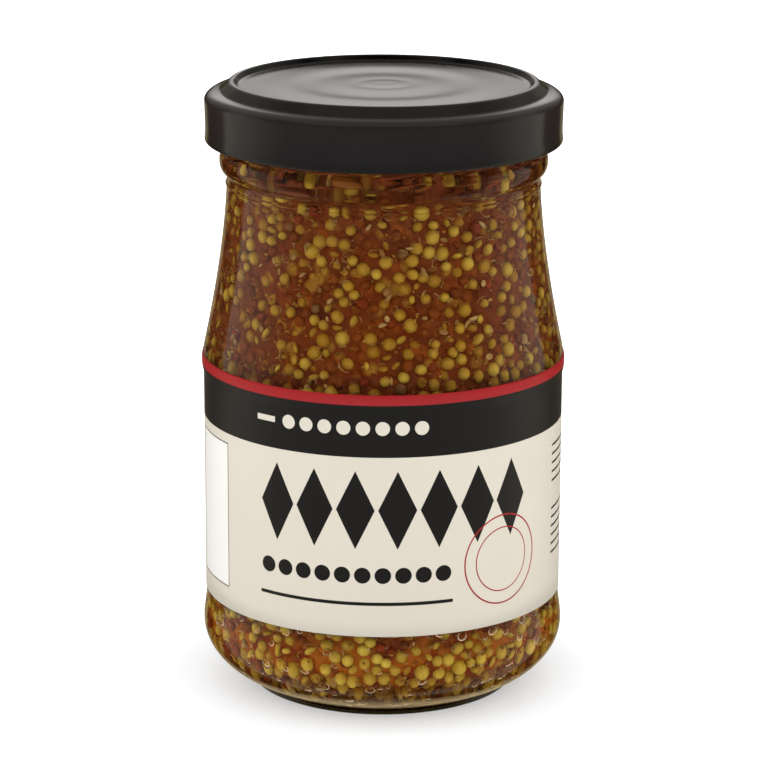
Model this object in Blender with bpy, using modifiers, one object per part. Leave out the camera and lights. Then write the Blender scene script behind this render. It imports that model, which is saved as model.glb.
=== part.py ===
# Mustard jar: a shut glass jar of wholegrain mustard with a twist-off lid and a paper label.
# Units are metres, +Z is up, the jar stands on z = 0 round the Z axis and its front faces -Y.

import math
import random

import bmesh
import bpy
from mathutils import Matrix, Vector

# Driving dimensions of the glass
JAR_PANEL_RADIUS = 0.03065
JAR_BULGE_RADIUS = 0.0316
JAR_SHOULDER_RADIUS = 0.03135
JAR_NECK_RADIUS = 0.02695
JAR_BEAD_RADIUS = 0.0282
JAR_FINISH_RADIUS = 0.0266
JAR_RIM_HEIGHT = 0.1042
WALL = 0.0024
RIM_ROUNDING = 0.0004

# Heights of the features of the glass
HEEL_TOP = 0.0108
PANEL_BOTTOM = 0.0166
PANEL_TOP = 0.0595
SHOULDER_BOTTOM = 0.0602
NECK_BOTTOM = 0.0900
BEAD_TOP = 0.0952
FLARE_POWER = 1.55
BULGE_CORNER_SHARE = 0.875

# Foot, heel and base of the glass
FOOT_OUTER_RADIUS = 0.0230
FOOT_INNER_RADIUS = 0.0206
FOOT_ROUNDING = 0.0006
HEEL_BOTTOM = 0.0016
HEEL_ROUND_WIDTH = 0.0165
HEEL_ROUND_DEPTH = 0.0110
PUSH_UP_RADIUS = 0.0196
PUSH_UP_EDGE_HEIGHT = 0.0009
PUSH_UP_HEIGHT = 0.0016
INSIDE_FLOOR_RADIUS = 0.0165
INSIDE_FLOOR_HEIGHT = 0.0045
INSIDE_FLOOR_CENTRE = 0.0050
INSIDE_HEEL_TOP = 0.0140

# Driving dimensions of the lid, in sheet metal
LID_RADIUS = 0.0307
LID_BOTTOM = 0.0962
LID_SKIRT_TOP = 0.1033
LID_SHOULDER_HEIGHT = 0.1050
LID_SHOULDER_RADIUS = 0.0283
LID_CREST_RADIUS = 0.0260
LID_CREST_HEIGHT = 0.1066
LID_PANEL_RADIUS = 0.0246
LID_PANEL_HEIGHT = 0.10575
LID_RING_FULLNESS = 0.75
LID_STEP_RADII = (0.0161, 0.0113, 0.0048)
LID_STEP_RISES = (0.00016, -0.00010, -0.00008)
LID_STEP_WIDTH = 0.0024
LID_HEM_RADIUS = 0.0006
LID_METAL = 0.0004

# Driving dimensions of the label
LABEL_BOTTOM = 0.0171
LABEL_TOP = 0.0592
LABEL_THICKNESS = 0.0003
LABEL_OPEN_SEGMENTS = 2

# Driving dimensions of the mustard
MUSTARD_LEVEL = 0.0995
SEED_LENGTH = 0.0027
SEED_SPACING = 0.0078
SEED_STANDS_OUT = 0.0010
SEED_SCATTER = 0.0016
SEED_GAP = 0.0004
WINDOW_MARGIN = 0.0016
RANDOM_SEED = 11

# Fineness and clearance shared by all pieces
SEGMENTS = 40
GAP = 0.0003
SHARP_ANGLE = math.radians(38)


def clear_scene():
    """Remove every object of the scene."""
    for thing in list(bpy.data.objects):
        bpy.data.objects.remove(thing, do_unlink=True)


def make_collection(name):
    """Add a collection to the scene."""
    collection = bpy.data.collections.new(name)
    bpy.context.scene.collection.children.link(collection)
    return collection


def make_material(name, colour, roughness, transmission=0.0):
    """Make a Principled material with plain values."""
    material = bpy.data.materials.new(name)
    material.use_nodes = True
    shader = material.node_tree.nodes["Principled BSDF"]
    shader.inputs["Base Color"].default_value = (*colour, 1.0)
    shader.inputs["Roughness"].default_value = roughness
    shader.inputs["Metallic"].default_value = 0.0
    shader.inputs["Transmission Weight"].default_value = transmission
    return material


def arc(centre, radii, start, end, count):
    """Points of an ellipse from one angle to another, in degrees, as (radius, height) pairs."""
    points = []
    for step in range(count + 1):
        angle = math.radians(start + (end - start) * step / count)
        points.append((centre[0] + radii[0] * math.cos(angle), centre[1] + radii[1] * math.sin(angle)))
    return points


def flare_radius(height):
    """Radius of the outside of the glass between the label panel and the neck."""
    share = max(0.0, (NECK_BOTTOM - height) / (NECK_BOTTOM - SHOULDER_BOTTOM))
    return JAR_NECK_RADIUS + (JAR_SHOULDER_RADIUS - JAR_NECK_RADIUS) * share ** FLARE_POWER


def heights_between(low, high, count):
    """Evenly spaced heights, both ends included."""
    return [low + (high - low) * step / count for step in range(count + 1)]


def add_profile(name, points, collection, material):
    """Make an object of a line of (radius, height) points in the XZ plane."""
    mesh = bpy.data.meshes.new(name)
    vertices = [(radius, 0.0, height) for radius, height in points]
    edges = [(index, index + 1) for index in range(len(points) - 1)]
    mesh.from_pydata(vertices, edges, [])
    turned = bpy.data.objects.new(name, mesh)
    turned.data.materials.append(material)
    collection.objects.link(turned)
    return turned


def add_screw(turned, steps=SEGMENTS, angle=math.tau):
    """Turn the profile round the Z axis."""
    screw = turned.modifiers.new("Turn", "SCREW")
    screw.angle = angle
    screw.steps = steps
    screw.render_steps = steps
    screw.use_merge_vertices = True
    screw.merge_threshold = 0.00001
    screw.use_smooth_shade = True
    return screw


def bake_modifiers(thing):
    """Replace the object's mesh by the result of its modifiers, shaded smooth but for its sharp edges."""
    depsgraph = bpy.context.evaluated_depsgraph_get()
    mesh = bpy.data.meshes.new_from_object(thing.evaluated_get(depsgraph))
    mesh.name = thing.name
    thing.modifiers.clear()
    thing.data = mesh
    mesh.shade_smooth()
    mesh.set_sharp_from_angle(angle=SHARP_ANGLE)


def inside_of_glass():
    """Line of the inner face of the glass, from the middle of its floor up to the mouth."""
    wall_radius = JAR_PANEL_RADIUS - WALL
    heel_radii = (wall_radius - INSIDE_FLOOR_RADIUS, INSIDE_HEEL_TOP - INSIDE_FLOOR_HEIGHT)
    points = [(0.0, INSIDE_FLOOR_CENTRE)]
    points += arc((INSIDE_FLOOR_RADIUS, INSIDE_HEEL_TOP), heel_radii, -90, 0, 5)
    points.append((wall_radius, PANEL_TOP - WALL))
    for height in heights_between(SHOULDER_BOTTOM + WALL, NECK_BOTTOM, 4):
        points.append((min(wall_radius, flare_radius(height) - WALL), height))
    points.append((JAR_NECK_RADIUS - WALL, JAR_RIM_HEIGHT - RIM_ROUNDING))
    return points


def outside_of_glass():
    """Line of the outer face of the glass, from the rim down to the middle of the base."""
    mouth = JAR_NECK_RADIUS - WALL + RIM_ROUNDING
    points = [(mouth, JAR_RIM_HEIGHT), (JAR_FINISH_RADIUS - RIM_ROUNDING, JAR_RIM_HEIGHT)]
    points.append((JAR_FINISH_RADIUS, JAR_RIM_HEIGHT - RIM_ROUNDING))

    # The round bead below the finish stands out from the neck.
    bead_middle = (NECK_BOTTOM + BEAD_TOP) / 2
    bead_radii = (JAR_BEAD_RADIUS - JAR_FINISH_RADIUS, (BEAD_TOP - NECK_BOTTOM) / 2)
    points += arc((JAR_FINISH_RADIUS, bead_middle), bead_radii, 90, -90, 6)[:-1]
    points += [(flare_radius(h), h) for h in reversed(heights_between(SHOULDER_BOTTOM, NECK_BOTTOM, 5))]

    # The label panel is sunk between the shoulder and the bulge.
    rise = JAR_BULGE_RADIUS - JAR_PANEL_RADIUS
    points += [(JAR_PANEL_RADIUS, PANEL_TOP), (JAR_PANEL_RADIUS, PANEL_BOTTOM)]
    points.append((JAR_PANEL_RADIUS + rise / 2, PANEL_BOTTOM - rise))
    points.append((JAR_PANEL_RADIUS + rise * BULGE_CORNER_SHARE, (HEEL_TOP + PANEL_BOTTOM) / 2))

    # The heel is an arc of an ellipse down to the foot, and the base is pushed up inside the foot.
    heel_end = math.degrees(math.asin((HEEL_TOP - HEEL_BOTTOM) / HEEL_ROUND_DEPTH))
    heel_middle = (JAR_BULGE_RADIUS - HEEL_ROUND_WIDTH, HEEL_TOP)
    points += arc(heel_middle, (HEEL_ROUND_WIDTH, HEEL_ROUND_DEPTH), 0, -heel_end, 6)
    points.append((FOOT_OUTER_RADIUS + FOOT_ROUNDING, FOOT_ROUNDING))
    points += [(FOOT_OUTER_RADIUS, 0.0), (FOOT_INNER_RADIUS, 0.0)]
    points += [(PUSH_UP_RADIUS, PUSH_UP_EDGE_HEIGHT), (0.0, PUSH_UP_HEIGHT)]
    return points


def build_jar(collection):
    """Glass with its floor, walls, bead and open mouth, as one turned piece."""
    glass = make_material("Clear glass", (0.93, 0.95, 0.92), 0.02, transmission=1.0)
    jar = add_profile("jar", inside_of_glass() + outside_of_glass(), collection, glass)
    add_screw(jar)
    bake_modifiers(jar)


def lid_line():
    """Line of the top face of the lid, from its middle out to the curled hem of the skirt."""
    height = LID_PANEL_HEIGHT - sum(LID_STEP_RISES)
    points = [(0.0, height)]
    for radius, rise in reversed(list(zip(LID_STEP_RADII, LID_STEP_RISES))):
        points.append((radius - LID_STEP_WIDTH / 2, height))
        height += rise
        points.append((radius + LID_STEP_WIDTH / 2, height))
    points.append((LID_PANEL_RADIUS, LID_PANEL_HEIGHT))

    # A raised ring runs between the sunk panel and the shoulder of the skirt.
    inner_side = LID_PANEL_HEIGHT + (LID_CREST_HEIGHT - LID_PANEL_HEIGHT) * LID_RING_FULLNESS
    points.append(((LID_PANEL_RADIUS + LID_CREST_RADIUS) / 2, inner_side))
    points.append((LID_CREST_RADIUS, LID_CREST_HEIGHT))
    outer_side = LID_SHOULDER_HEIGHT + (LID_CREST_HEIGHT - LID_SHOULDER_HEIGHT) * LID_RING_FULLNESS
    points.append(((LID_SHOULDER_RADIUS + LID_CREST_RADIUS) / 2, outer_side))
    corner = (LID_RADIUS - LID_SHOULDER_RADIUS, LID_SHOULDER_HEIGHT - LID_SKIRT_TOP)
    points += arc((LID_SHOULDER_RADIUS, LID_SKIRT_TOP), corner, 90, 0, 3)
    hem_middle = (LID_RADIUS - LID_HEM_RADIUS, LID_BOTTOM + LID_HEM_RADIUS)
    points += arc(hem_middle, (LID_HEM_RADIUS, LID_HEM_RADIUS), 0, -135, 3)
    return points


def build_lid(collection):
    """Twist-off lid, a turned shell with a stepped panel, a raised ring and a curled hem."""
    enamel = make_material("Black enamel", (0.016, 0.015, 0.015), 0.3)
    lid = add_profile("lid", lid_line(), collection, enamel)
    add_screw(lid)
    shell = lid.modifiers.new("Metal", "SOLIDIFY")
    shell.thickness = LID_METAL
    shell.offset = -1.0
    bake_modifiers(lid)


def build_label(collection):
    """Paper label that runs round the panel and leaves a narrow opening at the back."""
    paper = make_material("Cream paper", (0.79, 0.72, 0.59), 0.55)
    inner_radius = JAR_PANEL_RADIUS + GAP
    steps = SEGMENTS - LABEL_OPEN_SEGMENTS
    segment = math.tau / SEGMENTS
    label = add_profile("label", [(inner_radius, LABEL_TOP), (inner_radius, LABEL_BOTTOM)], collection, paper)
    label.rotation_euler.z = math.pi / 2 + segment * LABEL_OPEN_SEGMENTS / 2
    add_screw(label, steps, segment * steps)
    sheet = label.modifiers.new("Paper", "SOLIDIFY")
    sheet.thickness = LABEL_THICKNESS
    sheet.offset = 1.0
    bake_modifiers(label)


def glass_inside_radius(height):
    """Radius of the inner face of the glass at a height, read from its line."""
    line = inside_of_glass()
    for (lower_radius, lower), (upper_radius, upper) in zip(line, line[1:]):
        if lower <= height <= upper:
            share = (height - lower) / (upper - lower)
            return lower_radius + (upper_radius - lower_radius) * share
    return line[-1][0]


def glass_inside_slope(height):
    """Change of the inner radius of the glass with height."""
    reach = SEED_LENGTH / 2
    return (glass_inside_radius(height + reach) - glass_inside_radius(height - reach)) / (2 * reach)


def mustard_line():
    """Line of the core of the mustard, set in from the glass, from its top down to its bottom."""
    inset = SEED_GAP + SEED_STANDS_OUT
    points = [(0.0, MUSTARD_LEVEL), (glass_inside_radius(MUSTARD_LEVEL) - inset, MUSTARD_LEVEL)]
    for radius, height in reversed(inside_of_glass()[1:-1]):
        points.append((radius - inset, height + (inset if height < INSIDE_HEEL_TOP else 0.0)))
    points.append((0.0, INSIDE_FLOOR_CENTRE + inset))
    return points


def seed_places():
    """Angles and heights of the seeds that show, in rings above and below the label and in its opening."""
    reach = SEED_LENGTH / 2 + WINDOW_MARGIN
    places = []
    windows = [(INSIDE_FLOOR_HEIGHT + reach, LABEL_BOTTOM), (LABEL_TOP, MUSTARD_LEVEL - reach)]
    for low, high in windows:
        rings = max(1, round((high - low) / SEED_SPACING))
        for ring, height in enumerate(heights_between(low, high, rings)):
            around = round(math.tau * glass_inside_radius(height) / SEED_SPACING)
            for index in range(around):
                places.append((math.tau * (index + 0.5 * (ring % 2)) / around, height))
    middle_rings = round((LABEL_TOP - LABEL_BOTTOM) / SEED_SPACING)
    for height in heights_between(LABEL_BOTTOM, LABEL_TOP, middle_rings)[1:-1]:
        places.append((math.pi / 2, height))
    return places


def add_seeds(collection):
    """Seeds of uneven size and shape, each half sunk in the core and just clear of the glass."""
    for angle, height in seed_places():
        angle += random.uniform(-SEED_SCATTER, SEED_SCATTER) / JAR_PANEL_RADIUS
        height += random.uniform(-SEED_SCATTER, SEED_SCATTER)
        half_length = SEED_LENGTH / 2 * random.uniform(0.85, 1.0)
        half_width = half_length * random.uniform(0.85, 1.0)
        inward = Vector((-1.0, 0.0, glass_inside_slope(height))).normalized()
        wall = Vector((glass_inside_radius(height), 0.0, height))
        place = Matrix.Translation(wall + inward * (SEED_GAP + half_length))
        turn = Matrix.Rotation(random.uniform(0.0, math.tau), 4, "X")
        size = Matrix.Diagonal((half_length, half_width, half_length, 1.0))
        mesh = bpy.data.meshes.new("seed")
        ball = bmesh.new()
        matrix = Matrix.Rotation(angle, 4, "Z") @ place @ turn @ size
        bmesh.ops.create_icosphere(ball, subdivisions=1, radius=1.0, matrix=matrix)
        ball.to_mesh(mesh)
        ball.free()
        collection.objects.link(bpy.data.objects.new("seed", mesh))


def build_mustard(collection, seeds):
    """Mustard up to its level: a core set in from the glass with the seeds that show fused on."""
    random.seed(RANDOM_SEED)
    paste = make_material("Wholegrain mustard", (0.32, 0.13, 0.035), 0.3)
    mustard = add_profile("mustard", mustard_line(), collection, paste)
    add_screw(mustard)
    add_seeds(seeds)
    union = mustard.modifiers.new("Seeds", "BOOLEAN")
    union.operation = "UNION"
    union.operand_type = "COLLECTION"
    union.collection = seeds
    union.solver = "EXACT"
    bake_modifiers(mustard)
    for seed in list(seeds.objects):
        bpy.data.objects.remove(seed, do_unlink=True)
    bpy.data.collections.remove(seeds)


def main():
    """Build the four pieces in one collection."""
    clear_scene()
    parts = make_collection("Mustard jar")
    build_jar(parts)
    build_lid(parts)
    build_label(parts)
    build_mustard(parts, make_collection("Seeds"))


main()
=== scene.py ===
# Mustard jar: its glass, lid, label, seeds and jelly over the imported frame, with floor, lights and camera.
# Metres, +Z up. The jar stands on z = 0 round the Z axis and its front faces -Y.

import math
from functools import cached_property

import bpy
import numpy as np
from mathutils import Matrix


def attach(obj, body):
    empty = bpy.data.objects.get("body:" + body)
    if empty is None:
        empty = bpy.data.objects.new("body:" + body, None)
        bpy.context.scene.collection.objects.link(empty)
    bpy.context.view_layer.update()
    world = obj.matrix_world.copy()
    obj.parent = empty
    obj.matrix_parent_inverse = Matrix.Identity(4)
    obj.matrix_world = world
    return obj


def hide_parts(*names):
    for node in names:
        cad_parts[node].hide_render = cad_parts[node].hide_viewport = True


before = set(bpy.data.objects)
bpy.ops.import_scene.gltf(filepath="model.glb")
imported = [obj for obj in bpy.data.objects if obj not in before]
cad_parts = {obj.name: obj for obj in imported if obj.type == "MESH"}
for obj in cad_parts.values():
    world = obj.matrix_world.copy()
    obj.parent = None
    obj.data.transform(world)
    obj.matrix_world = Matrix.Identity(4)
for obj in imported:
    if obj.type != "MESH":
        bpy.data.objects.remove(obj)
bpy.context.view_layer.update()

# Outside of the glass
PANEL_RADIUS = 0.03104
BULGE_RADIUS = 0.0316
SHOULDER_RADIUS = 0.0312
NECK_RADIUS = 0.02695
FINISH_RADIUS = 0.0266
BEAD_RADIUS = 0.0282
BEAD_FLATNESS = 2.3
LEDGE_RISE = 0.00032
SEAM_RISE = 0.00023
SEAM_WIDTH = 0.00019
FOOT_RADIUS = 0.0230
FOOT_SLANT = 0.0007
FOOT_STEP = 0.0004
FOOT_INNER_RADIUS = 0.0206
PUSH_UP_RADIUS = 0.0196
FLARE_POWER = 1.55

# Heights on the glass
HEEL_BOTTOM = 0.0016
HEEL_TOP = 0.0108
HEEL_WIDTH = 0.0165
HEEL_DEPTH = 0.0110
PANEL_BOTTOM = 0.0168
LEDGE_LOW = 0.0556
LEDGE_HIGH = 0.0574
SHOULDER_BOTTOM = 0.0602
FLARE_BOTTOM = SHOULDER_BOTTOM - 0.0012
RIPPLED_FROM = 0.0865
SEAM_HEIGHT = 0.0890
NECK_BOTTOM = 0.0900
BEAD_BOTTOM = 0.0906
BEAD_TOP = 0.0952
RIM_HEIGHT = 0.1042

# Inside of the glass
WALL = 0.0025
FLOOR_RADIUS = 0.0142
FLOOR_HEIGHT = 0.0042
FLOOR_CENTRE = 0.0047
INSIDE_HEEL_TOP = 0.0117
HEEL_FULLNESS = 0.89
HEEL_SWELL = 0.0004

# Rows of points on the outside and the inner wall, close where they curve: from, to and step in height
OUTSIDE_ROWS = ((0.0006, 0.010, 0.00035), (0.010, 0.0176, 0.0005), (0.0176, 0.0545, 0.005),
                (0.0545, 0.0615, 0.00035), (0.0615, 0.0870, 0.0009), (0.0870, 0.0962, 0.00014),
                (0.0962, 0.1038, 0.0012))
WALL_ROWS = ((INSIDE_HEEL_TOP, 0.0180, 0.0008), (0.0180, 0.0560, 0.0050), (0.0560, 0.1036, 0.0012))
GLASS_COLUMNS = 220

# Step of the finely worked lines, and the lengths over which they are evened
FINE_STEP = 0.00005
OUTSIDE_EVENING = 0.00025
INSIDE_EVENING = 0.0012

# Waves of the glass: rise, number round the jar, start and drift with height
INNER_WAVES = ((0.000055, 5, 1.3, 35), (0.000040, 11, 0.4, -60), (0.000022, 23, 2.2, 90))
OUTER_WAVES = ((0.000012, 7, 0.8, 50), (0.000008, 17, 0.0, -80))
RIPPLE_RISE = 0.000009
STIPPLE_RISE = 0.00016
STIPPLES = 110

# Heights between which the foot's painted shade, a near-black ring at the table, and its olive tint fade out,
# and its painted glow of light comes and goes
PAINTED_SHADE_FOOT = (0.0011, 0.0016)
OLIVE_FOOT = (0.0014, 0.0030)
PAINTED_GLOW_COMES = (0.0013, 0.0031)
PAINTED_GLOW_GOES = (0.0036, 0.0050)

# Mustard
MUSTARD_LEVEL = 0.0995
WALL_REACH = 0.0002
CORE_DEPTH = 0.0015
PAINTED_LIGHT_OVER_FLOOR = (0.0054, 0.0085)
UNDER_LID = 0.0893
LOW_FROM = 0.012
LOW_SPAN = 0.010
SEED_FADE = 0.0016
SMEAR_FADE = 0.0012
SPLIT_SHAPE = (1.0, 0.76, 0.45)
PRESSED_SHAPE = (1.12, 1.12, 0.52)

# Label
LABEL_BOTTOM = 0.0171
LABEL_TOP = 0.05925
LABEL_THICKNESS = 0.00014
LABEL_GAP = 0.00004
LABEL_HALF_ANGLE = math.radians(171)
LABEL_COVER = 0.0035
BUBBLES_BELOW = LABEL_BOTTOM + 0.004

# Print of the label. A block is left, right, low and high, and lines add their pitch and width. A row is
# left, right, count, middle height and size. A circle is middle across, middle height, radius and width.
RED_LOW = 0.0575
BLACK_LOW = 0.0485
BAND_DOTS = (-0.0181, 0.0082, 8, 0.0535, 0.0012)
BAND_DASH = (-0.0230, -0.0192, 0.0530, 0.0540)
DIAMOND_ROW = (-0.0224, 0.0275, 7, 0.0393, 0.0136, 0.92)
DOT_ROW = (-0.0224, 0.0122, 10, 0.0279, 0.0014)
LEVEL_LINE = (-0.0224, 0.0122, 0.0226, 0.0232)
OUTER_CIRCLE = (0.0222, 0.0286, 0.0078, 0.00028)
INNER_CIRCLE = (0.0222, 0.0286, 0.0056, 0.00022)
LEFT_PANEL = (-0.0440, -0.0313, 0.0210, 0.0468)
BACK_PANEL = (0.0680, 0.0880, 0.0220, 0.0460)
PANEL_EDGE = 0.0002
SIDE_LINES = ((0.0375, 0.0620, 0.0385, 0.0455, 0.0016, 0.0004),
              (0.0375, 0.0620, 0.0255, 0.0350, 0.0016, 0.0004),
              (-0.0860, -0.0540, 0.0225, 0.0455, 0.0016, 0.0004))
BACK_LINES = (0.0682, 0.0878, 0.0250, 0.0440, 0.0024, 0.0003)

# Lid, with the steps of its panel: radius, rise outwards and width
LID_RADIUS = 0.0307
LID_BOTTOM = 0.0962
LID_SKIRT_TOP = 0.1033
LID_VALLEY_HEIGHT = 0.1049
LID_VALLEY_RADIUS = 0.0282
LID_SHELF_RADIUS = 0.0290
LID_SHELF_HEIGHT = 0.10478
LID_CREST_RADIUS = 0.0260
LID_CREST_HEIGHT = 0.1066
LID_PANEL_RADIUS = 0.0244
LID_PANEL_HEIGHT = 0.10566
LID_HEM_RADIUS = 0.0006
LID_STEPS = ((0.0192, -0.00012, 0.0056), (0.0143, 0.00011, 0.0042), (0.0093, -0.00015, 0.0058),
             (0.0055, 0.00002, 0.0016), (0.0034, -0.00007, 0.0026))

# Camera, as worked out from the photo, with its angles in degrees
PHOTO_WIDTH = 768.0
FOCAL_PIXELS = 3322.0
CAMERA_PLACE = (0.00017, -0.560, 0.2037)
CAMERA_DOWN = 15.08
CAMERA_ROLL = 0.2

FLOOR_REACH = 6.0
TURN = math.tau
rng = np.random.default_rng(7)


def colour(red, green, blue):
    """A screen colour of 0 to 255 as the light values that shaders take."""
    share = np.array([red, green, blue]) / 255.0
    light = np.where(share <= 0.04045, share / 12.92, ((share + 0.055) / 1.055) ** 2.4)
    return (*[float(value) for value in light], 1.0)


def blend(start, end, share):
    """The value a share of the way from one to another."""
    return start + (end - start) * share


def eased(share):
    """A slow start and a slow end between 0 and 1: three times the square less twice the cube."""
    share = np.clip(share, 0.0, 1.0)
    return share * share * (3.0 - 2.0 * share)


def evened(values, spread):
    """A bell-shaped running mean over the given number of samples."""
    reach = int(3 * spread)
    weights = np.exp(-0.5 * (np.arange(-reach, reach + 1) / spread) ** 2)
    return np.convolve(np.pad(values, reach, mode="edge"), weights / weights.sum(), mode="valid")


# Meshes


def put_mesh(name, points, faces, material, smooth=True):
    """A mesh object from an array of points and a list of face arrays, each of one number of corners."""
    mesh = bpy.data.meshes.new(name)
    points = np.asarray(points, np.float32).reshape(-1, 3)
    mesh.vertices.add(len(points))
    mesh.vertices.foreach_set("co", points.ravel())
    corners = np.concatenate([face.ravel() for face in faces]).astype(np.int32)
    totals = np.concatenate([np.full(len(face), face.shape[1]) for face in faces]).astype(np.int32)
    mesh.loops.add(len(corners))
    mesh.loops.foreach_set("vertex_index", corners)
    mesh.polygons.add(len(totals))
    mesh.polygons.foreach_set("loop_start", np.concatenate([[0], np.cumsum(totals)[:-1]]).astype(np.int32))
    mesh.polygons.foreach_set("loop_total", totals)
    mesh.update(calc_edges=True)
    mesh.validate()
    if smooth:
        mesh.shade_smooth()
    piece = bpy.data.objects.new(name, mesh)
    mesh.materials.append(material)
    bpy.context.scene.collection.objects.link(piece)
    return piece


def grid_faces(rows, columns, closed):
    """Corner numbers of the quads of a grid of points, row by row, wrapped round when it is closed."""
    around = columns if closed else columns - 1
    row = np.arange(rows - 1)[:, None] * columns
    here = np.arange(around)[None, :]
    after = (here + 1) % columns
    return np.stack([row + here, row + columns + here, row + columns + after, row + after], -1).reshape(-1, 4)


def turned_faces(rows, columns, first_pole, last_pole):
    """Faces of a turned grid, whose first or last row is a single point on the axis where the pole is 1."""
    rings = rows - first_pole - last_pole
    here = np.arange(columns)
    after = np.roll(here, -1)
    faces = [grid_faces(rings, columns, True) + first_pole]
    if first_pole:
        faces.append(np.stack([np.zeros(columns, int), 1 + here, 1 + after], -1))
    if last_pole:
        start = first_pole + (rings - 1) * columns
        faces.append(np.stack([start + here, np.full(columns, start + columns), start + after], -1))
    return faces


def ringed(radius, angle, height):
    """Points at a radius, an angle round the Z axis and a height, each a number or an array."""
    return np.stack(np.broadcast_arrays(radius * np.cos(angle), radius * np.sin(angle), height), -1)


def turned(name, line, columns, material, wave=None):
    """A line of radius and height carried round the Z axis. A wave adds to the radius by angle and row."""
    line = np.asarray(line)
    angle = np.arange(columns) * TURN / columns
    radius = line[:, :1]
    if wave is not None:
        radius = radius + wave(angle[None, :], line)
    points = ringed(radius, angle, line[:, 1:]).reshape(-1, 3)
    first_pole = int(line[0, 0] == 0.0)
    last_pole = int(line[-1, 0] == 0.0)
    spare = columns - 1
    points = points[spare * first_pole:len(points) - spare * last_pole]
    return put_mesh(name, points, turned_faces(len(line), columns, first_pole, last_pole), material)


# Lines of the glass


def flare(height):
    """Radius between panel and neck: the neck's plus a power of how far down the shoulder it is."""
    share = np.clip((NECK_BOTTOM - height) / (NECK_BOTTOM - SHOULDER_BOTTOM), 0.0, 1.0)
    return blend(NECK_RADIUS, SHOULDER_RADIUS, share ** FLARE_POWER)


def outer_radii(height):
    """Radius of the outside at each height: an elliptic heel, a cosine fall to the panel, a ledge, the flare,
    the half ellipse of the bead and the finish, all evened, with a fine bell-shaped ridge at the seam."""
    heel_share = np.clip((HEEL_TOP - height) / HEEL_DEPTH, 0.0, 1.0)
    heel = BULGE_RADIUS - HEEL_WIDTH * (1.0 - np.sqrt(1.0 - heel_share ** 2))
    fall = 0.5 + 0.5 * np.cos(np.pi * np.clip((height - HEEL_TOP) / (PANEL_BOTTOM - HEEL_TOP), 0.0, 1.0))
    panel = blend(PANEL_RADIUS, BULGE_RADIUS, fall)
    panel = panel + LEDGE_RISE * eased((height - LEDGE_LOW) / (LEDGE_HIGH - LEDGE_LOW))
    body = np.where(height < HEEL_TOP, heel, np.where(height < FLARE_BOTTOM, panel, flare(height)))
    foot = FOOT_RADIUS + FOOT_SLANT * height / HEEL_BOTTOM + FOOT_STEP
    body = np.where(height < HEEL_BOTTOM, np.minimum(body, foot), body)
    middle = (BEAD_BOTTOM + BEAD_TOP) / 2
    across = np.abs((height - middle) / ((BEAD_TOP - BEAD_BOTTOM) / 2))
    bead = blend(FINISH_RADIUS, BEAD_RADIUS, np.sqrt(np.clip(1.0 - across ** BEAD_FLATNESS, 0.0, 1.0)))
    near_bead = height > NECK_BOTTOM - 0.001
    body = np.where(height > middle, bead, np.where(near_bead, np.maximum(bead, body), body))
    body = evened(body, OUTSIDE_EVENING / FINE_STEP)
    return body + SEAM_RISE * np.exp(-(((height - SEAM_HEIGHT) / SEAM_WIDTH) ** 2))


fine_heights = np.arange(0.0004, RIM_HEIGHT, FINE_STEP)
fine_outer = outer_radii(fine_heights)


def spaced(stretches):
    """Heights from stretches of (low, high, step), joined in rising order."""
    return np.concatenate([np.arange(*stretch) for stretch in stretches])


def outer_line():
    """Outside of the glass: rim, side, the ring that it stands on, and the base up to its middle."""
    heights = spaced(OUTSIDE_ROWS)[::-1]
    side = np.stack([np.interp(heights, fine_heights, fine_outer), heights], -1)
    rim = [(NECK_RADIUS - WALL + 0.0005, RIM_HEIGHT), (FINISH_RADIUS - 0.0005, RIM_HEIGHT)]
    foot = [(FOOT_RADIUS + 0.0001, 0.0002), (FOOT_RADIUS - 0.0003, 0.0), (FOOT_INNER_RADIUS + 0.0003, 0.0),
            (FOOT_INNER_RADIUS, 0.0002)]
    push_up = [(PUSH_UP_RADIUS, 0.0009), (0.0150, 0.0012), (0.0075, 0.0015), (0.0, 0.0016)]
    return np.concatenate([rim, side, foot, push_up])


def inner_line():
    """Inside of the glass from the middle of the floor up to the rim: a flat dome, a full heel and the wall.
    The heel is an ellipse with its sine and cosine raised to a power under 1, and it swells a little under
    the panel. The wall is set in by its thickness from the panel, the flare or the neck, and evened."""
    straight = PANEL_RADIUS - WALL
    share = np.linspace(0.0, 1.0, 7)[:-1]
    dome = np.stack([FLOOR_RADIUS * share, blend(FLOOR_CENTRE, FLOOR_HEIGHT, eased(share))], -1)
    turn = np.radians(np.linspace(0.0, 90.0, 17))[:-1]
    heel = np.stack([blend(FLOOR_RADIUS, straight, np.sin(turn) ** HEEL_FULLNESS),
                     blend(INSIDE_HEEL_TOP, FLOOR_HEIGHT, np.cos(turn) ** HEEL_FULLNESS)], -1)
    heel[:, 0] += HEEL_SWELL * eased((heel[:, 1] - 0.003) / 0.005)
    heights = spaced(WALL_ROWS)
    fine = evened(np.minimum(straight, flare(fine_heights) - WALL), INSIDE_EVENING / FINE_STEP)
    wall = np.stack([np.interp(heights, fine_heights, fine), heights], -1)
    wall[:, 0] += HEEL_SWELL * (1.0 - eased((heights - INSIDE_HEEL_TOP) / 0.006))
    return np.concatenate([dome, heel, wall])


def waves(parts, angle, height):
    """The sum of sine waves round the jar, each with its rise, number, start and drift with height."""
    return sum(rise * np.sin(count * angle + start + drift * height) for rise, count, start, drift in parts)


def inner_wave(angle, line):
    """Unevenness of the inner wall: slow waves that fade out towards the floor."""
    return eased((line[:, :1] - 0.020) / 0.008) * waves(INNER_WAVES, angle, line[:, 1:])


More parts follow.
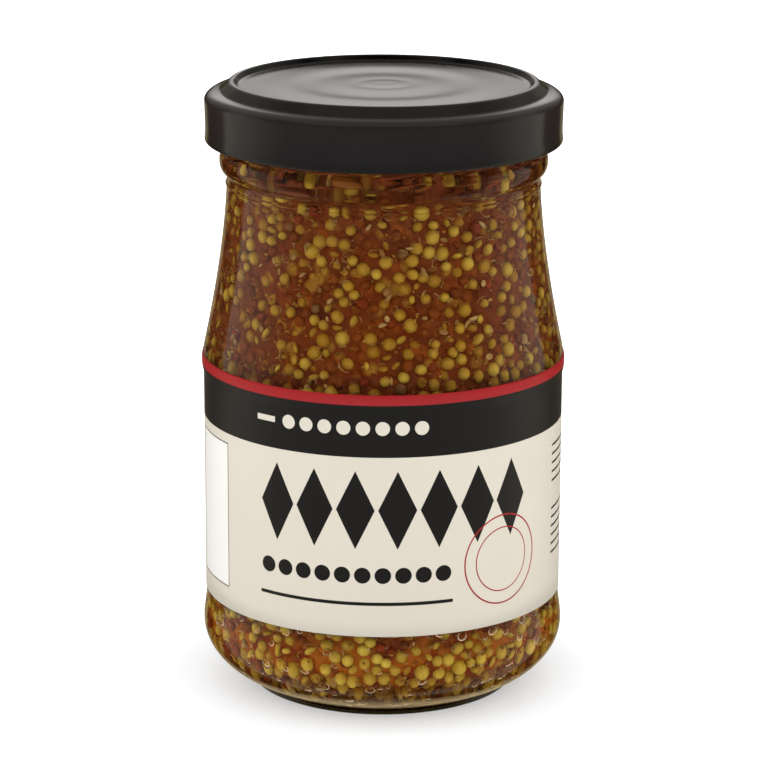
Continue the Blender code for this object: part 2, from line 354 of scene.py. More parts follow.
def outer_wave(angle, line):
    """Unevenness of the outside: small slow waves, fine level ripples round the bead and the neck, and a row
    of stipples round the foot."""
    radius, height = line[:, :1], line[:, 1:]
    drift = 1.3 * np.sin(2 * angle + 1.0) + 0.8 * np.sin(5 * angle - 0.7)
    ripple = np.sin(TURN * height / 0.00128 + drift) + 0.7 * np.sin(TURN * height / 0.00091 - 1.6 * drift)
    ripple = RIPPLE_RISE * ripple * eased((height - RIPPLED_FROM) / 0.004)
    on_foot = np.exp(-(((radius - FOOT_RADIUS) / 0.0012) ** 2)) * np.exp(-((height / 0.0006) ** 2))
    stipple = STIPPLE_RISE * on_foot * np.sin(STIPPLES * angle)
    return waves(OUTER_WAVES, angle, height) * (radius > 0.001) + ripple + stipple


# Materials


class Nodes:
    """A node tree, with short calls for the nodes that it needs, and the place that its patterns read."""

    def __init__(self, tree, place):
        self.tree = tree
        self.place = self.node("ShaderNodeTexCoord").outputs[place]

    def node(self, kind, **settings):
        """A node with its settings."""
        made = self.tree.nodes.new(kind)
        for key, value in settings.items():
            setattr(made, key, value)
        return made

    def feed(self, socket, value):
        """A link when the value is a socket, and a plain value otherwise."""
        if isinstance(value, bpy.types.NodeSocket):
            self.tree.links.new(value, socket)
        else:
            socket.default_value = value

    def calc(self, operation, *values):
        """A Math node."""
        made = self.node("ShaderNodeMath", operation=operation)
        for socket, value in zip(made.inputs, values):
            self.feed(socket, value)
        return made.outputs[0]

    def reach(self, first, second):
        """The root of the sum of two squares."""
        squares = [self.calc("MULTIPLY", value, value) for value in (first, second)]
        return self.calc("SQRT", self.calc("ADD", *squares))

    def mix(self, share, first, second, blend_type="MIX"):
        """A Mix node for colours."""
        made = self.node("ShaderNodeMix", data_type="RGBA", blend_type=blend_type)
        for index, value in ((0, share), (6, first), (7, second)):
            self.feed(made.inputs[index], value)
        return made.outputs[2]

    def split(self, kind, value):
        """The three parts of a place or a colour."""
        made = self.node("ShaderNodeSeparate" + kind)
        self.feed(made.inputs[0], value)
        return made.outputs


class Maker(Nodes):
    """The node tree of one material round its Principled shader."""

    def __init__(self, name):
        self.material = bpy.data.materials.new(name)
        self.material.use_nodes = True
        super().__init__(self.material.node_tree, "Object")
        self.shader = self.tree.nodes["Principled BSDF"]
        self.out = self.tree.nodes["Material Output"]

    @cached_property
    def height(self):
        """Height on the piece."""
        return self.split("XYZ", self.place)[2]

    def set(self, **values):
        """Plain values or links of the Principled shader, by socket name with _ for a space."""
        for key, value in values.items():
            self.feed(self.shader.inputs[key.replace("_", " ")], value)

    def ranged(self, value, low, high, to_low=0.0, to_high=1.0):
        """A Map Range node, held at its ends."""
        made = self.node("ShaderNodeMapRange")
        for socket, number in zip(made.inputs, (value, low, high, to_low, to_high)):
            self.feed(socket, number)
        return made.outputs[0]

    def below(self, low, high, amount=1.0):
        """The amount below a low height on the piece, and none above a high one."""
        return self.ranged(self.height, low, high, amount, 0.0)

    def noise(self, scale, detail=2.0, roughness=0.5, stretch=None):
        """Noise on the piece's own coordinates, with its scale in turns per metre."""
        made = self.node("ShaderNodeTexNoise")
        place = self.place
        if stretch is not None:
            mapping = self.node("ShaderNodeMapping")
            self.feed(mapping.inputs["Vector"], place)
            mapping.inputs["Scale"].default_value = stretch
            place = mapping.outputs[0]
        for key, value in (("Vector", place), ("Scale", scale), ("Detail", detail), ("Roughness", roughness)):
            self.feed(made.inputs[key], value)
        return made.outputs[0]

    def patches(self, scale, low, high, detail=2.0, roughness=0.5):
        """Noise whose share between a low and a high level goes from 0 to 1."""
        return self.ranged(self.noise(scale, detail, roughness), low, high)

    def cells(self, scale):
        """Voronoi cells on the piece's own coordinates: the distance and the colour."""
        made = self.node("ShaderNodeTexVoronoi")
        self.feed(made.inputs["Vector"], self.place)
        made.inputs["Scale"].default_value = scale
        return made.outputs["Distance"], made.outputs["Color"]

    def attribute(self, name):
        """A named number on the mesh."""
        return self.node("ShaderNodeAttribute", attribute_name=name).outputs["Fac"]

    def bump(self, height, depth):
        """A bump of the given depth in metres as the shader's normal."""
        made = self.node("ShaderNodeBump")
        made.inputs["Strength"].default_value = 1.0
        made.inputs["Distance"].default_value = depth
        self.feed(made.inputs["Height"], height)
        self.set(Normal=made.outputs[0])

    def let_light_in(self, source):
        """Let the light of the lamps through, so that what is behind is lit."""
        lets = self.node("ShaderNodeBsdfTransparent")
        path = self.node("ShaderNodeLightPath")
        mixed = self.node("ShaderNodeMixShader")
        for socket, value in zip(mixed.inputs, (path.outputs["Is Shadow Ray"], source, lets.outputs[0])):
            self.feed(socket, value)
        self.feed(self.out.inputs["Surface"], mixed.outputs[0])

    def clear(self, tint, bending):
        """Smooth and clear, with its tint and its index of refraction, and open to the light of the lamps."""
        self.set(Base_Color=tint, Roughness=0.0, Transmission_Weight=1.0, IOR=bending)
        self.let_light_in(self.shader.outputs[0])


def clear_glass():
    """Moulded clear glass with a slow waviness, faintly green. By height on the thick foot it is tinted near
    black at the table, a painted shade, and olive over that, with a painted glow of light in streaks and
    painted glints."""
    made = Maker("Clear moulded glass")
    tint = made.mix(made.below(*OLIVE_FOOT), (0.965, 0.985, 0.955, 1.0), (0.78, 0.74, 0.52, 1.0))
    # Painted shade: the foot is tinted near black where it stands on the table.
    tint = made.mix(made.below(*PAINTED_SHADE_FOOT), tint, (0.014, 0.008, 0.001, 1.0))
    made.clear(tint, 1.5)
    # Painted light: the foot glows in streaks and glints, though it is no lamp.
    painted_glow_band = made.calc("MULTIPLY", made.ranged(made.height, *PAINTED_GLOW_COMES), made.below(*PAINTED_GLOW_GOES))
    painted_streak = made.ranged(made.noise(260.0, 2.0, 0.6, (1.0, 1.0, 7.0)), 0.35, 0.65, 0.08, 0.21)
    painted_glint = made.ranged(made.noise(420.0, 2.0, 0.6, (1.0, 1.0, 6.0)), 0.66, 0.74, 0.0, 0.9)
    painted_glow = made.calc("MULTIPLY", painted_glow_band, made.calc("ADD", painted_streak, painted_glint))
    made.set(Emission_Color=(1.0, 0.74, 0.34, 1.0), Emission_Strength=painted_glow)
    made.bump(made.noise(55.0, stretch=(1.0, 1.0, 0.35)), 0.00022)
    return made.material


def wetted_glass():
    """Inner face of the glass where mustard wets it: it bends light by the step from glass to jelly."""
    made = Maker("Glass wetted by mustard")
    made.clear((0.985, 0.99, 0.98, 1.0), 1.09)
    made.bump(made.noise(90.0, stretch=(1.0, 1.0, 0.3)), 0.0003)
    return made.material


def mustard_jelly():
    """Murky amber jelly round the seeds, which takes blue and green out of the light that crosses it."""
    made = Maker("Mustard jelly")
    made.clear((1.0, 1.0, 1.0, 1.0), 1.01)
    inside = made.node("ShaderNodeVolumeAbsorption")
    inside.inputs["Color"].default_value = (0.90, 0.62, 0.12, 1.0)
    inside.inputs["Density"].default_value = 160.0
    made.feed(made.out.inputs["Volume"], inside.outputs[0])
    return made.material


def seed_coat(name, pale, deep, murk, gloss):
    """Coat of a kind of seed. The tone number goes from its deep to its pale colour, and the sunk number goes
    towards the colour of the jelly. Fine noise mottles it."""
    made = Maker(name)
    mottle = made.noise(900.0, 3.0, 0.6)
    speck = made.calc("SUBTRACT", made.ranged(mottle, 0.35, 0.70), 0.5)
    tone = made.calc("ADD", made.attribute("tone"), made.calc("MULTIPLY", speck, 0.35))
    base = made.mix(made.ranged(tone, 0.0, 1.0), deep, pale)
    base = made.mix(made.attribute("sunk"), base, murk)
    made.set(Base_Color=base, Roughness=gloss, Specular_IOR_Level=0.12)
    made.bump(mottle, 0.00005)
    return made.material


def deep_mustard():
    """What lies behind the seeds that show: murk and packed seeds in low contrast, orange brown to mauve. Low
    in the jar it is paler amber, a painted light from the floor below, with dark red patches, and just over
    the floor it is a paler brown, also painted light from below."""
    made = Maker("Deep mustard")
    distance, tint = made.cells(420.0)
    chances = made.split("Color", tint)
    murk = made.mix(made.patches(170.0, 0.38, 0.62), colour(117, 50, 5), colour(118, 57, 18))
    seed = made.mix(chances[0], colour(82, 30, 8), colour(158, 82, 22))
    seed = made.mix(made.ranged(chances[1], 0.80, 0.84), seed, colour(176, 132, 50))
    base = made.mix(made.ranged(distance, 0.30, 0.62, 0.8, 0.0), murk, seed)
    speck = made.patches(1300.0, 0.35, 0.7, 3.0, 0.6)
    base = made.mix(made.calc("MULTIPLY", speck, 0.3), base, colour(74, 30, 6))
    # Painted light: paler amber low in the jar, where the floor lights it from below.
    low = made.below(LOW_FROM, LOW_FROM + LOW_SPAN, 0.56)
    base = made.mix(low, base, colour(200, 118, 28))
    red = made.calc("MULTIPLY", made.patches(210.0, 0.50, 0.60), made.ranged(low, 0.0, 0.5, 0.12, 0.75))
    base = made.mix(red, base, colour(110, 22, 4))
    # Painted light: paler brown just over the floor, where the core faces down into shade.
    base = made.mix(made.below(*PAINTED_LIGHT_OVER_FLOOR, 0.55), base, colour(150, 92, 44))
    made.set(Base_Color=base, Roughness=0.5, Specular_IOR_Level=0.1)
    made.bump(distance, -0.0007)
    return made.material


def husk_skin(name):
    """Thin pale skin shed by a seed, with a fine brown grain."""
    made = Maker(name)
    grain = made.patches(1500.0, 0.3, 0.7, 2.0, 0.6)
    base = made.mix(made.attribute("tone"), colour(146, 102, 46), colour(222, 190, 122))
    base = made.mix(made.calc("MULTIPLY", grain, 0.35), base, colour(120, 70, 30))
    made.set(Base_Color=base, Roughness=0.35, Specular_IOR_Level=0.4)
    made.bump(grain, 0.00004)
    return made.material


def painted_bubble_highlight():
    """Painted highlight along the foot of a bubble: a pale crescent that glows, paler and brighter where its
    tone is high.
    """
    made = Maker("Painted bubble highlight")
    tone = made.attribute("tone")
    light = made.mix(made.patches(1200.0, 0.3, 0.7), colour(226, 186, 150), colour(250, 236, 214))
    light = made.mix(made.ranged(tone, 0.1, 0.7), colour(176, 132, 78), light)
    # Painted light: the crescent glows though it is no lamp.
    painted_glow = made.ranged(tone, 0.0, 1.0, 0.02, 0.50)
    made.set(Base_Color=light, Roughness=0.2, Emission_Color=light, Emission_Strength=painted_glow)
    return made.material


def air_bubble():
    """Air in the jelly, which bends light the other way from glass."""
    made = Maker("Air bubble")
    air = made.node("ShaderNodeBsdfGlass")
    for key, value in (("IOR", 0.86), ("Roughness", 0.0), ("Color", (1.0, 0.98, 0.94, 1.0))):
        air.inputs[key].default_value = value
    made.tree.nodes.remove(made.shader)
    made.let_light_in(air.outputs[0])
    return made.material


def black_enamel():
    """Satin black enamel on sheet metal: a faint orange peel, dust-fine grain and soft rubbed patches. Its
    colour carries painted shade and painted light: darkest at the hem and near black on top, and a little
    paler up the skirt."""
    made = Maker("Black enamel")
    rubbed = made.patches(60.0, 0.35, 0.75, 3.0, 0.6)
    # Painted shade at the hem and on top, painted light high on the skirt: one enamel in lit and shaded
    # tones.
    hem = made.ranged(made.height, LID_BOTTOM + 0.0004, LID_BOTTOM + 0.0020)
    high = made.ranged(made.height, LID_BOTTOM + 0.0020, LID_VALLEY_HEIGHT - 0.0002)
    top = made.ranged(made.height, LID_SHELF_HEIGHT - 0.0009, LID_SHELF_HEIGHT)
    skirt = made.mix(rubbed, colour(27, 25, 25), colour(31, 29, 29))
    skirt = made.mix(hem, colour(25, 24, 22), made.mix(high, skirt, colour(34, 30, 29)))
    base = made.mix(top, skirt, made.mix(rubbed, colour(6, 4, 3), colour(10, 8, 7)))
    grain = made.calc("MULTIPLY", made.patches(2600.0, 0.3, 0.7), 0.02)
    rough = made.calc("ADD", made.ranged(rubbed, 0.0, 1.0, 0.13, 0.17), grain)
    made.set(Base_Color=base, Roughness=rough)
    made.bump(made.noise(700.0), 0.000005)
    return made.material


def printed_paper():
    """Label paper with its fields of colour: red stripe, black band and cream ground with plain shapes, each
    placed by height and by the way round the label from the middle of its front."""
    made = Maker("Printed label paper")
    calc = made.calc
    east, north, height = made.split("XYZ", made.place)
    angle = calc("ARCTAN2", east, calc("MULTIPLY", north, -1.0))
    across = calc("MULTIPLY", angle, PANEL_RADIUS + LABEL_THICKNESS)

    def within(value, low, high):
        """1 where a value lies between two bounds."""
        return calc("MULTIPLY", calc("GREATER_THAN", value, low), calc("LESS_THAN", value, high))

    def block(left, right, low, high):
        """1 inside an upright rectangle."""
        return calc("MULTIPLY", within(across, left, right), within(height, low, high))

    def inset(left, right, low, high):
        """1 inside a rectangle less its thin edge."""
        return block(left + PANEL_EDGE, right - PANEL_EDGE, low + PANEL_EDGE, high - PANEL_EDGE)

    def in_row(left, pitch):
        """Offset from the middle of each place of a row, as a share of its pitch."""
        places = calc("DIVIDE", calc("SUBTRACT", across, left), pitch)
        return calc("SUBTRACT", calc("FRACT", places), 0.5)

    def diamonds(left, right, count, level, tall, wide_share):
        """1 inside a row of upright diamonds: the offsets as shares of the half sizes add up to under 1."""
        side = calc("ABSOLUTE", in_row(left, (right - left) / count))
        rise = calc("ABSOLUTE", calc("SUBTRACT", height, level))
        shares = calc("ADD", calc("MULTIPLY", side, 2.0 / wide_share), calc("MULTIPLY", rise, 2.0 / tall))
        return calc("MULTIPLY", calc("LESS_THAN", shares, 1.0), within(across, left, right))

    def dots(left, right, count, level, radius):
        """1 inside a row of round dots: the distance from a middle is less than the radius."""
        pitch = (right - left) / count
        side = calc("MULTIPLY", in_row(left, pitch), pitch)
        reach = made.reach(side, calc("SUBTRACT", height, level))
        return calc("MULTIPLY", calc("LESS_THAN", reach, radius), within(across, left, right))

    def circle(left, level, radius, width):
        """1 on a thin circle: the distance from its middle is within half the width of the radius."""
        reach = made.reach(calc("SUBTRACT", across, left), calc("SUBTRACT", height, level))
        return calc("LESS_THAN", calc("ABSOLUTE", calc("SUBTRACT", reach, radius)), width / 2)

    def lines(left, right, low, high, pitch, width):
        """1 on level lines that fill a rectangle."""
        places = calc("FRACT", calc("DIVIDE", calc("SUBTRACT", height, low), pitch))
        return calc("MULTIPLY", calc("LESS_THAN", places, width / pitch), block(left, right, low, high))

    cream = colour(203, 195, 180)
    black = colour(28, 26, 24)
    red = colour(152, 8, 14)
    base = cream
    for shape, ink in ((calc("GREATER_THAN", height, BLACK_LOW), black),
                       (calc("GREATER_THAN", height, RED_LOW), red),
                       (dots(*BAND_DOTS), cream), (block(*BAND_DASH), cream),
                       (diamonds(*DIAMOND_ROW), black), (dots(*DOT_ROW), black), (block(*LEVEL_LINE), black),
                       (circle(*OUTER_CIRCLE), red), (circle(*INNER_CIRCLE), red),
                       (block(*LEFT_PANEL), colour(52, 50, 46)), (inset(*LEFT_PANEL), colour(226, 224, 218)),
                       *((lines(*stretch), black) for stretch in SIDE_LINES),
                       (block(*BACK_PANEL), black), (inset(*BACK_PANEL), cream), (lines(*BACK_LINES), black)):
        base = made.mix(shape, base, ink)

    cloud = calc("MULTIPLY", made.patches(70.0, 0.3, 0.7, 3.0), 0.06)
    base = made.mix(cloud, base, colour(215, 205, 188), "MULTIPLY")
    made.set(Base_Color=base, Roughness=0.40, Specular_IOR_Level=0.42)
    made.bump(made.noise(1400.0, 3.0, 0.6), 0.000012)
    return made.material


# Glass and jelly


def build_glass():
    """The whole jar of glass: inner face up, over the rim, outside down to the middle of the base."""
    inside = inner_line()
    rows = len(inside)
    line = np.concatenate([inside, outer_line()])

    def wave(angle, points):
        """The inner and the outer unevenness, each on its own rows."""
        return np.concatenate([inner_wave(angle, points[:rows]), outer_wave(angle, points[rows:])])

    glass = turned("glass_jar", line, GLASS_COLUMNS, clear_glass(), wave)
    glass.data.materials.append(wetted_glass())
    wet = np.zeros(len(glass.data.polygons), np.int32)
    wet[:(int((inside[:, 1] < MUSTARD_LEVEL).sum()) - 2) * GLASS_COLUMNS] = 1
    floor_middle = (len(line) - 3) * GLASS_COLUMNS
    wet[floor_middle:floor_middle + GLASS_COLUMNS] = 1
    glass.data.polygons.foreach_set("material_index", wet)
    return glass


def set_out(line, reach):
    """A line moved out along its normals, or in where the reach is under zero."""
    slope = np.gradient(line, axis=0)
    length = np.hypot(slope[:, 0], slope[:, 1])
    return line + reach * np.stack([slope[:, 1], -slope[:, 0]], -1) / length[:, None]


def build_jelly():
    """Jelly that fills the glass to its level and reaches just into its wall: a closed turned line."""
    inside = inner_line()
    line = set_out(inside[inside[:, 1] < MUSTARD_LEVEL - 0.0005], WALL_REACH)
    line[0, 0] = 0.0
    top = [(line[-1, 0], MUSTARD_LEVEL), (0.0, MUSTARD_LEVEL)]
    return turned("jelly", np.concatenate([line, top])[::-1], 96, mustard_jelly())


# Places on the inner wall, as lengths along its line from the middle of the floor


def way_along(line):
    """Length of a line from its start to each of its points."""
    return np.concatenate([[0.0], np.cumsum(np.hypot(*np.diff(line, axis=0).T))])


wall_line = inner_line()
wall_line = wall_line[wall_line[:, 1] < MUSTARD_LEVEL]
wall_way = way_along(wall_line)
widest = wall_line[:, 0].max()
beside = wall_line[:, 0] > FLOOR_RADIUS


def wall_at(way):
    """Radius and height at a way along the inner line."""
    return np.interp(way, wall_way, wall_line[:, 0]), np.interp(way, wall_way, wall_line[:, 1])


def on_wall(way, angle, depth):
    """Place at a way along the inner line, an angle round from the front and a depth inside the glass."""
    reach = 0.0008
    radius, height = wall_at(way)
    ahead = wall_at(np.minimum(way + reach, wall_way[-1]))
    behind = wall_at(np.maximum(way - reach, 0.0))
    out, up = ahead[0] - behind[0], ahead[1] - behind[1]
    length = np.hypot(out, up)
    return ringed(radius - depth * up / length, angle - math.pi / 2, height + depth * out / length)


def shows(way, angle):
    """Whether a place on the wall can be seen past the label: over it, under it or in its opening."""
    height = wall_at(way)[1]
    covered = (height > LABEL_BOTTOM + LABEL_COVER) & (height < LABEL_TOP - LABEL_COVER)
    turn = np.abs((angle + math.pi) % TURN - math.pi)
    return ~covered | (turn > LABEL_HALF_ANGLE - 0.12)


def scattered(tries, sizes, depths, apart, wanted, taken):
    """Seeds thrown at random on the wall, kept with the chance that wanted gives for their places and where
    they stay apart, by a share of the half sizes together, from those already there. Returns an array of
    places, half sizes and depths, one row each."""
    way = rng.uniform(0.0, wall_way[-1], tries * 3)
    keep = rng.uniform(0.0, widest, tries * 3) < wall_at(way)[0]
    way = way[keep][:tries]
    angle = rng.uniform(-math.pi, math.pi, len(way))
    size = rng.uniform(*sizes, len(way))
    depth = rng.uniform(*depths, len(way))
    place = on_wall(way, angle, size + depth)
    keep = shows(way, angle) & (place[:, 2] < MUSTARD_LEVEL - size)
    keep &= rng.uniform(size=len(way)) < wanted(place)
    rows = np.concatenate([place, size[:, None], depth[:, None]], 1)[keep]
    count = len(taken)
    kept = np.empty((count + len(rows), 5))
    kept[:count] = taken
    for row in rows:
        away = kept[:count, :3] - row[:3]
        room = (kept[:count, 3] + row[3]) * apart
        if not np.any((away * away).sum(1) < room * room):
            kept[count] = row
            count += 1
    return kept[:count]


def thrown(tries, border, low_share, high_share, depths):
    """Places thrown evenly on the wall that shows, at random depths, kept with one chance below a height and
    another above it."""
    way = rng.uniform(0.0, wall_way[-1], tries)
    angle = rng.uniform(-math.pi, math.pi, tries)
    radius, height = wall_at(way)
    wanted = np.where(height < border, low_share, high_share) * radius / widest
    kept = shows(way, angle) & (rng.uniform(size=tries) < wanted)
    places = on_wall(way[kept], angle[kept], rng.uniform(*depths, int(kept.sum())))
    return places[places[:, 2] < MUSTARD_LEVEL - 0.0012]


# Small shapes and their turns


def ball_rings(tilts, columns):
    """Rings of points on a ball of radius 1, each at its angle from the top."""
    tilts = tilts[:, None]
    return ringed(np.sin(tilts), np.arange(columns) * TURN / columns, np.cos(tilts)).reshape(-1, 3)


def unit_ball(columns, rings):
    """Points and faces of a small ball, ring by ring from pole to pole."""
    ring = ball_rings(np.linspace(0.0, np.pi, rings + 2)[1:-1], columns)
    points = np.concatenate([[(0.0, 0.0, 1.0)], ring, [(0.0, 0.0, -1.0)]])
    return points, turned_faces(rings + 2, columns, 1, 1)


def unit_cap(rows, columns):
    """Points and faces of a thin cap of a ball: an outer skin down to an angle from the top, the same skin at
    nine tenths of its size inside it, and the edge between them."""
    skin = np.concatenate([[(0.0, 0.0, 1.0)], ball_rings(np.linspace(0.0, 1.15, rows)[1:], columns)])
    outer = turned_faces(rows, columns, 1, 0)
    inner = [face[:, ::-1] + len(skin) for face in outer]
    here = len(skin) - columns + np.arange(columns)
    after = np.roll(here, -1)
    edge = np.stack([here, here + len(skin), after + len(skin), after], -1)
    return np.concatenate([skin, skin * 0.90]), outer + inner + [edge]


def unit_crescent(half_span, thickness, steps):
    """Points and faces of a thin crescent at the foot of a ring in the XZ plane: its three-sided section
    swells from a point at one end, by the cosine of its share of the span, and back to a point."""
    share = np.linspace(-1.0, 1.0, steps + 1)[1:-1, None]
    swing = half_span * share
    thick = thickness * np.cos(share * np.pi / 2)
    turn = np.radians([90.0, 210.0, 330.0])
    reach = 1.0 + thick * np.cos(turn)
    body = np.stack([np.sin(swing) * reach, thick * np.sin(turn), -np.cos(swing) * reach], -1).reshape(-1, 3)
    ends = [[(sign * math.sin(half_span), 0.0, -math.cos(half_span))] for sign in (-1, 1)]
    return np.concatenate([ends[0], body, ends[1]]), turned_faces(steps + 1, 3, 1, 1)


def random_turns(count):
    """Random turns as an array of 3 by 3 matrices, from random unit quaternions."""
    four = rng.normal(size=(4, count))
    w, x, y, z = four / np.sqrt((four * four).sum(0))
    rows = [[1 - 2 * (y * y + z * z), 2 * (x * y - z * w), 2 * (x * z + y * w)],
            [2 * (x * y + z * w), 1 - 2 * (x * x + z * z), 2 * (y * z - x * w)],
            [2 * (x * z - y * w), 2 * (y * z + x * w), 1 - 2 * (x * x + y * y)]]
    return np.array(rows).transpose(2, 0, 1)


def turns_about(axis, angle):
    """Turns about one axis, 0 to 2 for X to Z, as an array of 3 by 3 matrices."""
    first, second = (axis + 1) % 3, (axis + 2) % 3
    made = np.zeros((len(angle), 3, 3))
    made[:, axis, axis] = 1.0
    made[:, first, first] = made[:, second, second] = np.cos(angle)
    made[:, second, first] = np.sin(angle)
    made[:, first, second] = -np.sin(angle)
    return made


def laid_on_wall(places, spin, lean):
    """Turns that lay shapes on the glass: X goes round the jar, Y goes in and Z goes up along the wall, after
    a spin about Y and a lean about X."""
    angle = np.arctan2(places[:, 0], -places[:, 1])
    slope = np.gradient(wall_line, axis=0)
    wall_lean = np.arctan2(slope[:, 0], slope[:, 1])
    lean = lean + np.interp(places[:, 2], wall_line[beside, 1], wall_lean[beside])
    return turns_about(2, angle) @ turns_about(0, lean) @ turns_about(1, spin)


def outwards(places):
    """The level way out from the axis at each place, of length 1."""
    outward = places * np.array([1.0, 1.0, 0.0])
    return outward / np.linalg.norm(outward, axis=1)[:, None]


def behind_glass(points):
    """How far in from the glass: the inner radius at the points' height less their distance from the axis."""
    radius = np.interp(points[:, 2], wall_line[beside, 1], wall_line[beside, 0])
    return np.maximum(radius - np.hypot(points[:, 0], points[:, 1]), 0.0)


def joined(name, shape, places, sizes, turns, material, tones=0.0, sunk=0.0, fade=None):
    """Many copies of one small shape in one mesh: each is stretched, turned and moved to its place. Where a
    fade is given, the sunk number nears 1 by the exponential of each point's way behind the glass."""
    points, faces = shape
    count = len(places)

    def each(values):
        """The values of the copies, given to each of their points."""
        return np.repeat(np.broadcast_to(values, count), len(points))

    moved = np.einsum("nij,nkj->nki", turns, sizes[:, None, :] * points[None]) + places[:, None, :]
    moved = moved.reshape(-1, 3)
    start = (np.arange(count) * len(points))[:, None, None]
    piece = put_mesh(name, moved, [(face + start).reshape(-1, face.shape[1]) for face in faces], material)
    sunk = each(sunk)
    if fade is not None:
        sunk = 1.0 - (1.0 - sunk) * np.exp(-behind_glass(moved) / each(fade))
    for key, values in (("tone", each(tones)), ("sunk", sunk)):
        layer = piece.data.attributes.new(key, "FLOAT", "POINT")
        layer.data.foreach_set("value", values.astype(np.float32))
    return piece


# Seeds and what lies between them


def patchy(places, scale, crossing):
    """A slow pattern from crossed waves across space, between 0 and 1: each has its way and its start."""
    value = sum(np.sin(places @ np.array(way) * scale + start) for way, start in crossing)
    return 0.5 + value / (2.0 * len(crossing))


CLUSTER_WAVES = (((0.7, 0.2, 0.7), 0.3), ((-0.4, 0.8, 0.5), 1.9), ((0.1, -0.6, 0.9), 4.0),
                 ((0.9, 0.5, -0.3), 2.6))
SMEAR_WAVES = (((0.8, 0.1, 0.9), 0.4), ((-0.5, 0.7, 0.8), 2.0), ((0.2, -0.8, 1.3), 1.0))


def low_down(places):
    """1 near the foot of the jar and 0 above it."""
    return 1.0 - eased((places[:, 2] - LOW_FROM) / LOW_SPAN)


def clustered(places):
    """Chance of a yellow seed: high in slow patches and near the foot, low between them and under the lid."""
    patch = eased((patchy(places, 640.0, CLUSTER_WAVES) - 0.42) / 0.22)
    chance = np.clip(0.045 + 0.95 * patch + 0.12 * low_down(places), 0.0, 1.0)
    return np.where(places[:, 2] < UNDER_LID, chance, 0.05 + 0.16 * patch)


def between(places):
    """Chance of another seed at the glass: even, with few under the lid."""
    return np.where(places[:, 2] < UNDER_LID, 0.90, 0.20)


def everywhere(places):
    """Chance of a seed further in: all are wanted."""
    return 1.0


# Layers of seeds, each further in: tries, half sizes, depths, how far apart and where they are wanted
SEED_LAYERS = ((24000, (0.00092, 0.00140), (0.00005, 0.00075), 0.80, clustered),
               (6000, (0.00085, 0.00125), (0.00010, 0.00055), 0.90, between),
               (16000, (0.00095, 0.00132), (0.00060, 0.00100), 0.84, everywhere),
               (14000, (0.00095, 0.00132), (0.00095, 0.00130), 0.80, everywhere))

# Shares of yellow, brown and red seeds in each layer, where the rest are grey
SEED_SHARES = ((1.0, 0.0, 0.0), (0.10, 0.60, 0.24), (0.18, 0.68, 0.12), (0.12, 0.80, 0.07))

# Kinds of seed: name, pale and deep colour of the coat, and share of split ones
SEED_KINDS = (("yellow_seeds", (232, 202, 82), (184, 144, 42), 0.30),
              ("brown_seeds", (152, 78, 22), (96, 40, 10), 0.16),
              ("red_seeds", (150, 56, 20), (104, 14, 8), 0.10),
              ("grey_seeds", (140, 122, 80), (108, 84, 50), 0.10))
SEED_MURK = colour(114, 56, 10)


def build_seeds():
    """Yellow seeds in clusters at the glass, others between them, and two blurred layers sunk in the murk.
    Near the foot they are paler and less sunk, a painted light from the floor below. Those under the lid are
    pressed flat. Returns the pieces and the near yellow seeds."""
    seeds = np.empty((0, 5))
    ends = []
    for layer in SEED_LAYERS:
        seeds = scattered(*layer, seeds)
        ends.append(len(seeds))
    places, size, depth = seeds[:, :3], seeds[:, 3], seeds[:, 4]
    layers = np.searchsorted(ends, np.arange(len(seeds)), side="right")
    draw = rng.uniform(size=len(seeds))
    kinds = (draw[:, None] > np.cumsum(np.array(SEED_SHARES)[layers], 1)).sum(1)
    haze = rng.uniform(size=len(seeds)) ** 1.6
    low = low_down(places)
    sunk = np.clip(0.25 * depth / 0.001 + np.where(kinds == 0, 0.20, 0.36) * haze, 0.0, 0.90)
    # Painted light: seeds near the foot are less sunk in the murk.
    sunk *= 1.0 - 0.25 * low
    ball = unit_ball(9, 4)
    pieces = []
    for kind, (name, pale, deep, split_share) in enumerate(SEED_KINDS):
        mine = kinds == kind
        count = int(mine.sum())
        stretch = rng.uniform(0.86, 1.07, (count, 3)) * size[mine][:, None]
        stretch[rng.uniform(size=count) < split_share] *= SPLIT_SHAPE
        turns = random_turns(count)
        under_lid = places[mine, 2] > UNDER_LID
        stretch[under_lid] *= PRESSED_SHAPE
        turns[under_lid] = turns_about(2, rng.uniform(-math.pi, math.pi, int(under_lid.sum())))
        # Painted light: tones rise near the foot, and the fade into murk is slower there.
        tones = np.clip(rng.normal(0.42, 0.28, count) + 0.45 * low[mine], 0.0, 1.0)
        coat = seed_coat(name.replace("_", " ").capitalize(), colour(*pale), colour(*deep), SEED_MURK, 0.5)
        pieces.append(joined(name, ball, places[mine], stretch, turns, coat, tones, sunk[mine],
                             SEED_FADE * (1.0 + low[mine])))
    return pieces, seeds[(kinds == 0) & (layers == 0)]


